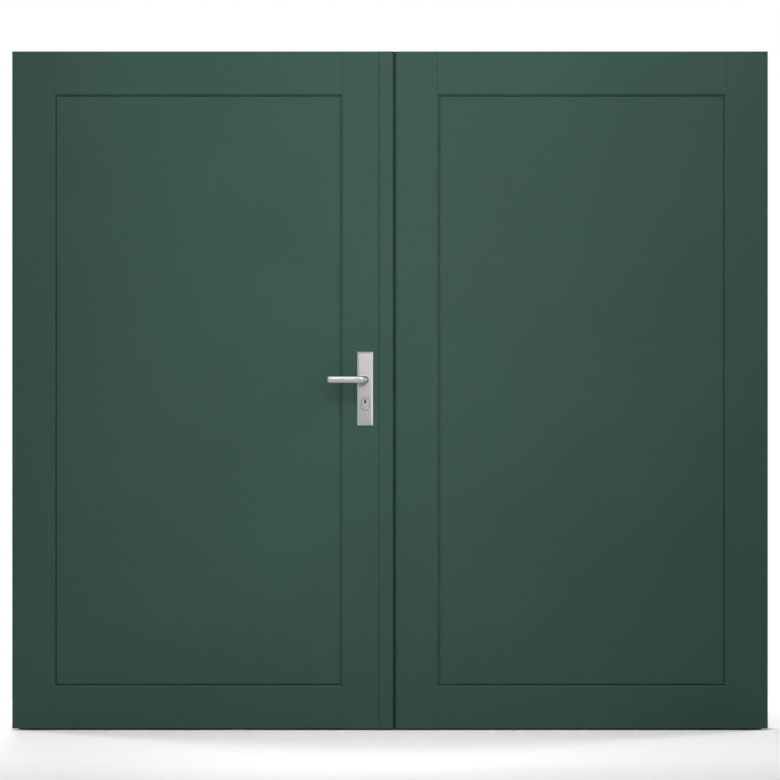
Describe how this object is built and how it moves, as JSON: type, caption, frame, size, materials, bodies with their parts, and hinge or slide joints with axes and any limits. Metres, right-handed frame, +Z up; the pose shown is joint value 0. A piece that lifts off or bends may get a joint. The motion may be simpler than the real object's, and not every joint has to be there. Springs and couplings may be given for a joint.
{
  "type": "double garage door",
  "caption": "Outward-opening side-hung double garage door in panelled timber, with a lever handle, lock, rod bolts, hinges and a slim frame behind the leaves.",
  "frame": {"origin": "middle of the threshold's underside, on the floor", "axes": "+X along the doors to the right as seen from the street, +Y from the street into the garage, +Z up"},
  "size_m": [2.4, 0.2085, 2.156],
  "materials": {
    "painted_timber": "satin dark green paint",
    "satin_aluminium": "satin anodised",
    "zinc_steel": "zinc plated",
    "nickel_brass": "satin nickel plated",
    "seal_rubber": "matt black"
  },
  "bodies": {
    "frame": {"left_jamb": "painted_timber", "right_jamb": "painted_timber", "head": "painted_timber", "threshold": "satin_aluminium", "left_seal": "seal_rubber", "right_seal": "seal_rubber", "head_seal": "seal_rubber", "threshold_seal": "seal_rubber", "head_keep": "zinc_steel", "threshold_keep": "zinc_steel", "active_frame_hinge_low": "zinc_steel", "active_frame_hinge_mid": "zinc_steel", "active_frame_hinge_high": "zinc_steel", "active_hinge_pins": "zinc_steel", "passive_frame_hinge_low": "zinc_steel", "passive_frame_hinge_mid": "zinc_steel", "passive_frame_hinge_high": "zinc_steel", "passive_hinge_pins": "zinc_steel"},
    "active_leaf": {"active_hinge_stile": "painted_timber", "active_lock_stile": "painted_timber", "active_top_rail": "painted_timber", "active_bottom_rail": "painted_timber", "active_panel": "painted_timber", "active_side_beads": "painted_timber", "active_cross_beads": "painted_timber", "astragal": "painted_timber", "lap_seal": "seal_rubber", "active_leaf_hinge_low": "zinc_steel", "active_leaf_hinge_mid": "zinc_steel", "active_leaf_hinge_high": "zinc_steel", "lock_case": "zinc_steel", "lock_strip": "zinc_steel", "outside_plate": "satin_aluminium", "inside_plate": "satin_aluminium", "cylinder_body": "nickel_brass", "plate_bolts": "zinc_steel"},
    "passive_leaf": {"passive_hinge_stile": "painted_timber", "passive_meeting_stile": "painted_timber", "passive_top_rail": "painted_timber", "passive_bottom_rail": "painted_timber", "passive_panel": "painted_timber", "passive_side_beads": "painted_timber", "passive_cross_beads": "painted_timber", "passive_leaf_hinge_low": "zinc_steel", "passive_leaf_hinge_mid": "zinc_steel", "passive_leaf_hinge_high": "zinc_steel", "strike_plate": "zinc_steel", "espag_case": "zinc_steel", "rod_guides": "zinc_steel"},
    "lever": {"outside_lever": "satin_aluminium", "inside_lever": "satin_aluminium", "spindle": "zinc_steel", "follower": "zinc_steel"},
    "latch": {"latch": "zinc_steel"},
    "deadbolt": {"deadbolt": "zinc_steel"},
    "cylinder_plug": {"cylinder_plug": "nickel_brass"},
    "espag_handle": {"espag_handle": "satin_aluminium", "espag_pinion": "zinc_steel"},
    "top_rod": {"top_rod": "zinc_steel"},
    "bottom_rod": {"bottom_rod": "zinc_steel"}
  },
  "joints": [
    {"name": "active_leaf_swing", "type": "hinge", "parent": "frame", "child": "active_leaf", "pos_m": [-1.191, -0.048, 1.08], "axis": [0, 0, -1], "range_deg": [0, 110]},
    {"name": "passive_leaf_swing", "type": "hinge", "parent": "frame", "child": "passive_leaf", "pos_m": [1.191, -0.048, 1.08], "axis": [0, 0, 1], "range_deg": [0, 110]},
    {"name": "lever_turn", "type": "hinge", "parent": "active_leaf", "child": "lever", "pos_m": [-0.079, -0.078, 1.114], "axis": [0, -1, 0], "range_deg": [0, 40], "stiffness_Nm_per_rad": 1.5, "springref_deg": -20.05},
    {"name": "latch_slide", "type": "slide", "parent": "active_leaf", "child": "latch", "axis": [-1, 0, 0], "range_m": [0, 0.012]},
    {"name": "key_turn", "type": "hinge", "parent": "active_leaf", "child": "cylinder_plug", "pos_m": [-0.079, -0.078, 1.044], "axis": [0, -1, 0], "range_deg": [0, 360]},
    {"name": "deadbolt_slide", "type": "slide", "parent": "active_leaf", "child": "deadbolt", "axis": [1, 0, 0], "range_m": [0, 0.02]},
    {"name": "espag_turn", "type": "hinge", "parent": "passive_leaf", "child": "espag_handle", "pos_m": [0.077, -0.033, 1.056], "axis": [0, 1, 0], "range_deg": [0, 90]},
    {"name": "top_rod_slide", "type": "slide", "parent": "passive_leaf", "child": "top_rod", "axis": [0, 0, 1], "range_m": [0, 0.02]},
    {"name": "bottom_rod_slide", "type": "slide", "parent": "passive_leaf", "child": "bottom_rod", "axis": [0, 0, -1], "range_m": [0, 0.02]}
  ],
  "couplings": [
    {"joint": "latch_slide", "follows": "lever_turn", "m_per_rad": 0.017188},
    {"joint": "key_turn", "follows": "deadbolt_slide", "rad_per_m": 314.16},
    {"joint": "top_rod_slide", "follows": "espag_turn", "m_per_rad": 0.012732},
    {"joint": "bottom_rod_slide", "follows": "espag_turn", "m_per_rad": 0.012732}
  ]
}
